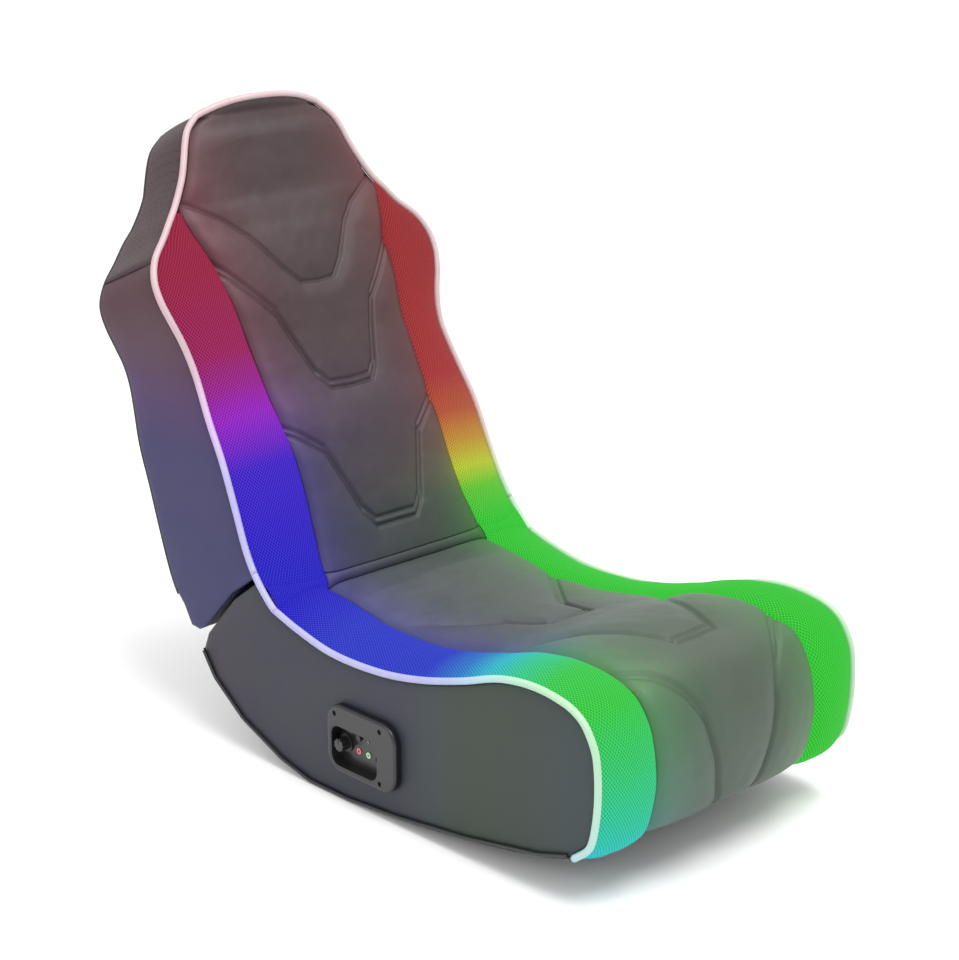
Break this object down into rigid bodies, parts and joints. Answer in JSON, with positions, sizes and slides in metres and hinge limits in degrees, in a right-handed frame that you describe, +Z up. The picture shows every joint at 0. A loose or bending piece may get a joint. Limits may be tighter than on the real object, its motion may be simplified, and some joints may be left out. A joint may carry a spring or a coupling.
{
  "type": "folding gaming floor rocker",
  "caption": "Floor rocker chair with a curved sole, quilted seat and back, mesh bolsters, speakers in the head and a side control panel.",
  "frame": {"origin": "middle of the flat of the sole, on the floor", "axes": "+Z up, the sitter looks towards -Y, +X is the sitter's left"},
  "size_m": [0.4944, 0.9781, 0.8319],
  "materials": {
    "seat_upholstery": "matt quilted leatherette over foam",
    "back_upholstery": "matt quilted leatherette over foam",
    "mesh": "fine diamond mesh lit from behind",
    "side_leatherette": "matt leatherette",
    "perforated_leatherette": "perforated leatherette",
    "plain_leatherette": "matt leatherette",
    "white_piping": "satin piping",
    "black_welt": "satin welt",
    "light_strip": "diffuse light strip",
    "sole_fabric": "woven underside cloth",
    "plywood": "bare plywood",
    "timber": "planed softwood",
    "hinge_steel": "zinc plated",
    "speaker_steel": "black paint",
    "speaker_cone": "matt cone",
    "panel_plastic": "gloss black",
    "dish_plastic": "satin black",
    "knob_plastic": "matt black",
    "screw_steel": "blackened",
    "button_plastic": "satin grey",
    "indicator": "clear indicator",
    "red_jack": "satin",
    "green_jack": "satin",
    "socket_plastic": "satin black",
    "box_plastic": "matt black",
    "circuit_board": "solder mask"
  },
  "bodies": {
    "base": {"amplifier_board": "circuit_board", "amplifier_box": "box_plastic", "base_cross_rails": "timber", "base_led_strip_left": "light_strip", "base_led_strip_right": "light_strip", "base_rear_cover": "plain_leatherette", "base_side_board_left": "plywood", "base_side_board_right": "plywood", "base_side_cover_left": "side_leatherette", "base_side_cover_right": "side_leatherette", "base_welt_left": "black_welt", "base_welt_right": "black_welt", "bezel_screws": "screw_steel", "control_bezel": "panel_plastic", "control_dish": "dish_plastic", "dc_socket": "socket_plastic", "front_board": "plywood", "headphone_jack": "green_jack", "hinge_base_leaves": "hinge_steel", "hinge_base_screws": "hinge_steel", "hinge_pins": "hinge_steel", "hinge_rail": "timber", "knob_collar": "knob_plastic", "mic_jack": "red_jack", "power_led": "indicator", "seat_board": "plywood", "seat_cushion": "seat_upholstery", "seat_mesh_left": "mesh", "seat_mesh_right": "mesh", "seat_piping_left": "white_piping", "seat_piping_right": "white_piping", "sole_board": "plywood", "sole_cover": "sole_fabric"},
    "back": {"back_board": "plywood", "back_bottom_cover": "plain_leatherette", "back_cross_rails": "timber", "back_cushion": "back_upholstery", "back_led_strip_left": "light_strip", "back_led_strip_right": "light_strip", "back_mesh_left": "mesh", "back_mesh_right": "mesh", "back_piping": "white_piping", "back_rear_cover": "plain_leatherette", "back_side_cover_left": "side_leatherette", "back_side_cover_right": "side_leatherette", "back_side_rail_left": "plywood", "back_side_rail_right": "plywood", "back_welt": "black_welt", "head_gusset_left": "perforated_leatherette", "head_gusset_right": "perforated_leatherette", "head_rail_left": "plywood", "head_rail_right": "plywood", "hinge_back_leaves": "hinge_steel", "hinge_back_screws": "hinge_steel", "speaker_basket_left": "speaker_steel", "speaker_basket_right": "speaker_steel", "speaker_cone_left": "speaker_cone", "speaker_cone_right": "speaker_cone"},
    "knob": {"volume_knob": "knob_plastic"},
    "button": {"power_button": "button_plastic"}
  },
  "joints": [
    {"name": "back_fold", "type": "hinge", "parent": "base", "child": "back", "pos_m": [0, 0.108, 0.24], "axis": [1, 0, 0], "range_deg": [0, 95]},
    {"name": "volume_knob_turn", "type": "hinge", "parent": "base", "child": "knob", "pos_m": [-0.238, -0.0325, 0.079], "axis": [1, 0, 0], "range_deg": [-150, 150]},
    {"name": "power_button_press", "type": "slide", "parent": "base", "child": "button", "axis": [1, 0, 0], "range_m": [0, 0.0015], "stiffness_N_per_m": 300, "springref_m": -0.001}
  ]
}
